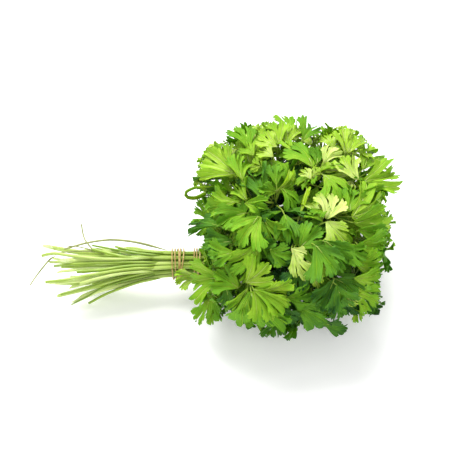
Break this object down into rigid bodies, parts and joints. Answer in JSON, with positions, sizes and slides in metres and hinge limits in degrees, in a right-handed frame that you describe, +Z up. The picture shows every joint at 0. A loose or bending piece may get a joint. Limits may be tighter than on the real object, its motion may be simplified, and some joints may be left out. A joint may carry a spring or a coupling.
{
  "type": "parsley bunch",
  "caption": "Tied bunch of fresh flat-leaf parsley lying on its side: long bare stalks, elastic bands round the neck and a full head of lobed leaves.",
  "frame": {"origin": "middle of the bunch's box in plan, on the surface that it lies on", "axes": "+X along the bunch from the cut ends to the leafy head, +Z up from the surface"},
  "size_m": [0.287, 0.1969, 0.1159],
  "materials": {
    "leaf": "fresh green leaf and stalk, slightly glossy",
    "band": "thin tan rubber band"
  },
  "bodies": {
    "root": {"leafy_stem_01": "leaf", "leafy_stem_02": "leaf", "leafy_stem_03": "leaf", "leafy_stem_04": "leaf", "leafy_stem_05": "leaf", "leafy_stem_06": "leaf", "leafy_stem_07": "leaf", "leafy_stem_08": "leaf", "leafy_stem_09": "leaf", "leafy_stem_10": "leaf", "leafy_stem_11": "leaf", "leafy_stem_12": "leaf", "leafy_stem_13": "leaf", "leafy_stem_14": "leaf", "leafy_stem_15": "leaf", "leafy_stem_16": "leaf", "leafy_stem_17": "leaf", "leafy_stem_18": "leaf", "leafy_stem_19": "leaf", "leafy_stem_20": "leaf", "leafy_stem_21": "leaf", "leafy_stem_22": "leaf", "leafy_stem_23": "leaf", "leafy_stem_24": "leaf", "leafy_stem_25": "leaf", "leafy_stem_26": "leaf", "wide_band": "band", "narrow_band": "band"}
  },
  "joints": []
}
